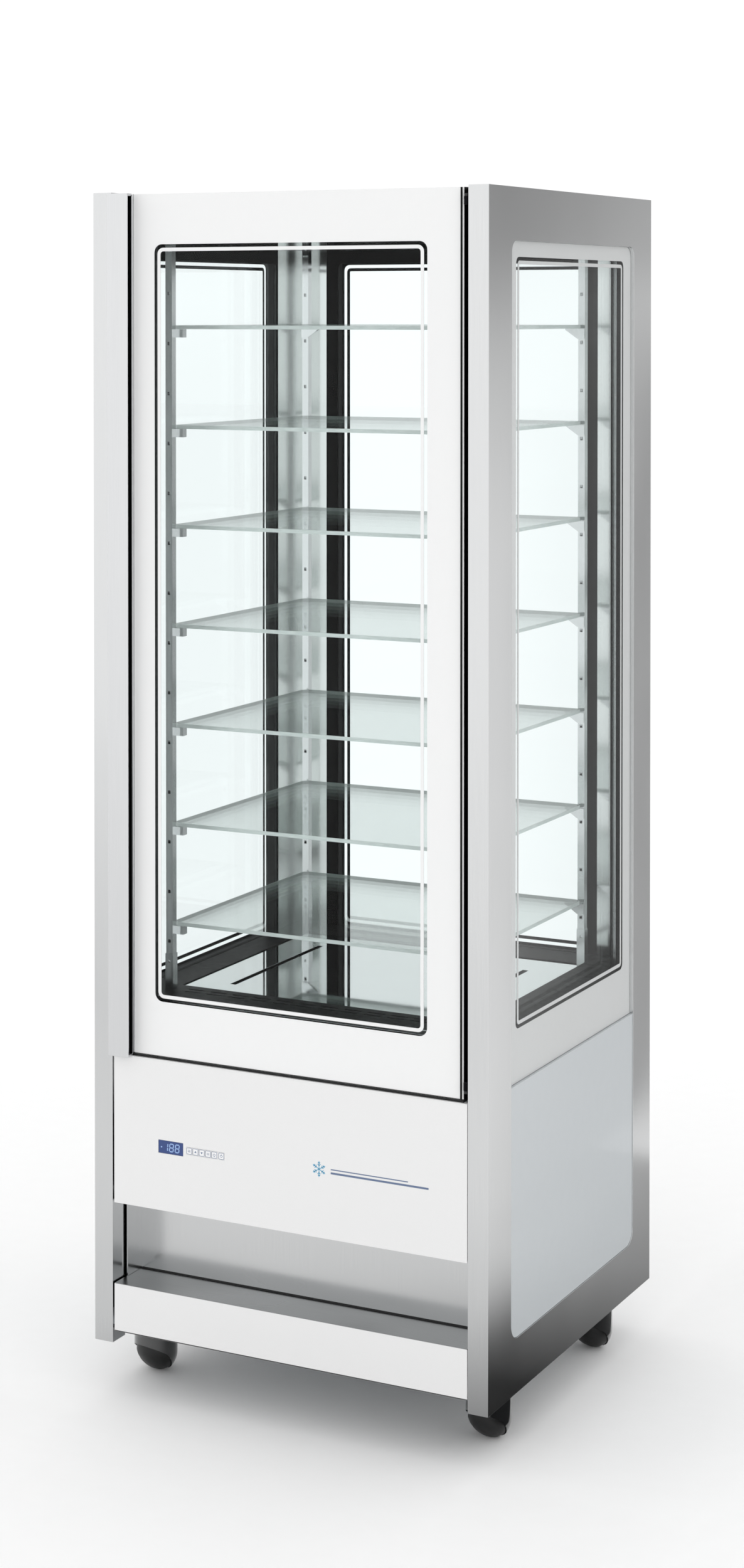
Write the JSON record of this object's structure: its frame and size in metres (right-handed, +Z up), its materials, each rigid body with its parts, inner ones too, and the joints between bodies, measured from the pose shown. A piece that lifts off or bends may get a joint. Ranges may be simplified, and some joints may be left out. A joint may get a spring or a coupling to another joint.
{
  "type": "refrigerated display tower",
  "caption": "Tall refrigerated pastry display tower glazed on four sides, with a hinged glass door, glass shelves, a machine compartment below and swivel castors.",
  "frame": {"origin": "on the floor, under the middle of the bounding box's plan", "axes": "+Z up, +X to the right seen from the front, +Y to the rear"},
  "size_m": [0.682, 0.666, 1.895],
  "materials": {
    "brushed_steel": "brushed stainless steel, satin",
    "polished_steel": "bright polished stainless sheet",
    "zinc_sheet": "zinc-coated sheet, matt",
    "door_glass": "toughened glass, back-printed white border, clear window",
    "grey_glass": "toughened double glazing, back-printed light grey border",
    "shelf_glass": "clear toughened float glass, polished edges",
    "satin_aluminium": "satin anodised aluminium",
    "white_sheet": "gloss white powder-coated sheet",
    "white_key": "white moulded key caps",
    "black_rubber": "black rubber, matt",
    "black_plastic": "black moulded plastic, semi-gloss",
    "navy_lens": "tinted display lens, glossy",
    "black_paint": "black stoved paint, satin",
    "coil_fins": "aluminium fins on copper tube"
  },
  "bodies": {
    "cabinet": {"base_pan": "zinc_sheet", "ceiling_panel": "polished_steel", "compressor": "black_paint", "condensate_tray": "black_plastic", "condenser": "coil_fins", "control_panel": "white_sheet", "deck": "polished_steel", "display": "navy_lens", "evaporator": "coil_fins", "front_left_corner_liner": "polished_steel", "front_left_upright": "satin_aluminium", "front_right_corner_liner": "polished_steel", "front_right_upright": "satin_aluminium", "insulated_floor": "black_plastic", "left_glass_unit": "grey_glass", "left_lower_panel": "white_sheet", "left_side_frame": "brushed_steel", "lower_hinge_pin": "black_paint", "plinth": "white_sheet", "rear_frame": "brushed_steel", "rear_glass_unit": "grey_glass", "rear_grille": "zinc_sheet", "rear_left_corner_liner": "polished_steel", "rear_left_upright": "satin_aluminium", "rear_right_corner_liner": "polished_steel", "rear_right_upright": "satin_aluminium", "recess_liner": "brushed_steel", "right_glass_unit": "grey_glass", "right_lower_panel": "white_sheet", "right_side_frame": "brushed_steel", "shelf_1": "shelf_glass", "shelf_2": "shelf_glass", "shelf_3": "shelf_glass", "shelf_4": "shelf_glass", "shelf_5": "shelf_glass", "shelf_6": "shelf_glass", "shelf_7": "shelf_glass", "top_panel": "brushed_steel", "upper_hinge_pin": "brushed_steel"},
    "door": {"door_glass_unit": "door_glass", "door_frame": "satin_aluminium", "door_gasket": "black_rubber", "door_handle": "satin_aluminium"},
    "condenser_fan": {"condenser_fan": "black_plastic"},
    "evaporator_fan": {"evaporator_fan": "black_plastic"},
    "power_rocker": {"power_rocker": "black_plastic"},
    "set_key": {"set_key": "white_key"},
    "up_key": {"up_key": "white_key"},
    "down_key": {"down_key": "white_key"},
    "defrost_key": {"defrost_key": "white_key"},
    "lamp_key": {"lamp_key": "white_key"},
    "standby_key": {"standby_key": "white_key"},
    "front_left_castor": {"front_left_castor_hood": "black_plastic"},
    "front_left_castor_wheel": {"front_left_castor_wheel": "black_rubber"},
    "front_right_castor": {"front_right_castor_hood": "black_plastic"},
    "front_right_castor_wheel": {"front_right_castor_wheel": "black_rubber"},
    "rear_left_castor": {"rear_left_castor_hood": "black_plastic"},
    "rear_left_castor_wheel": {"rear_left_castor_wheel": "black_rubber"},
    "rear_right_castor": {"rear_right_castor_hood": "black_plastic"},
    "rear_right_castor_wheel": {"rear_right_castor_wheel": "black_rubber"}
  },
  "joints": [
    {"name": "door_hinge", "type": "hinge", "parent": "cabinet", "child": "door", "pos_m": [0.3036, -0.316, 1.21999], "axis": [0, 0, 1], "range_deg": [0, 105]},
    {"name": "front_left_swivel", "type": "hinge", "parent": "cabinet", "child": "front_left_castor", "pos_m": [-0.295, -0.1965, 0.07499], "axis": [0, 0, 1], "continuous": true},
    {"name": "front_right_swivel", "type": "hinge", "parent": "cabinet", "child": "front_right_castor", "pos_m": [0.295, -0.1965, 0.07499], "axis": [0, 0, 1], "continuous": true},
    {"name": "rear_left_swivel", "type": "hinge", "parent": "cabinet", "child": "rear_left_castor", "pos_m": [-0.295, 0.2105, 0.07499], "axis": [0, 0, 1], "continuous": true},
    {"name": "rear_right_swivel", "type": "hinge", "parent": "cabinet", "child": "rear_right_castor", "pos_m": [0.295, 0.2105, 0.07499], "axis": [0, 0, 1], "continuous": true},
    {"name": "front_left_wheel_spin", "type": "hinge", "parent": "front_left_castor", "child": "front_left_castor_wheel", "pos_m": [-0.30482, -0.19459, 0.0315], "axis": [-0.1571, -0.808, -0.5678], "continuous": true},
    {"name": "front_right_wheel_spin", "type": "hinge", "parent": "front_right_castor", "child": "front_right_castor_wheel", "pos_m": [0.28518, -0.19459, 0.0315], "axis": [-0.1571, -0.808, -0.5678], "continuous": true},
    {"name": "rear_left_wheel_spin", "type": "hinge", "parent": "rear_left_castor", "child": "rear_left_castor_wheel", "pos_m": [-0.30482, 0.21241, 0.0315], "axis": [-0.1571, -0.808, -0.5678], "continuous": true},
    {"name": "rear_right_wheel_spin", "type": "hinge", "parent": "rear_right_castor", "child": "rear_right_castor_wheel", "pos_m": [0.28518, 0.21241, 0.0315], "axis": [-0.1571, -0.808, -0.5678], "continuous": true},
    {"name": "condenser_fan_spin", "type": "hinge", "parent": "cabinet", "child": "condenser_fan", "pos_m": [0.124, -0.119, 0.20999], "axis": [0, 1, 0], "continuous": true},
    {"name": "evaporator_fan_spin", "type": "hinge", "parent": "cabinet", "child": "evaporator_fan", "pos_m": [0.204, 0.007, 0.59099], "axis": [0, 0, 1], "continuous": true},
    {"name": "set_key_press", "type": "slide", "parent": "cabinet", "child": "set_key", "axis": [0, 1, 0], "range_m": [0, 0.0008], "stiffness_N_per_m": 400},
    {"name": "up_key_press", "type": "slide", "parent": "cabinet", "child": "up_key", "axis": [0, 1, 0], "range_m": [0, 0.0008], "stiffness_N_per_m": 400},
    {"name": "down_key_press", "type": "slide", "parent": "cabinet", "child": "down_key", "axis": [0, 1, 0], "range_m": [0, 0.0008], "stiffness_N_per_m": 400},
    {"name": "defrost_key_press", "type": "slide", "parent": "cabinet", "child": "defrost_key", "axis": [0, 1, 0], "range_m": [0, 0.0008], "stiffness_N_per_m": 400},
    {"name": "lamp_key_press", "type": "slide", "parent": "cabinet", "child": "lamp_key", "axis": [0, 1, 0], "range_m": [0, 0.0008], "stiffness_N_per_m": 400},
    {"name": "standby_key_press", "type": "slide", "parent": "cabinet", "child": "standby_key", "axis": [0, 1, 0], "range_m": [0, 0.0008], "stiffness_N_per_m": 400},
    {"name": "power_rocker_tilt", "type": "hinge", "parent": "cabinet", "child": "power_rocker", "pos_m": [0.219, 0.323, 0.23499], "axis": [1, 0, 0], "range_deg": [-8, 8]}
  ]
}
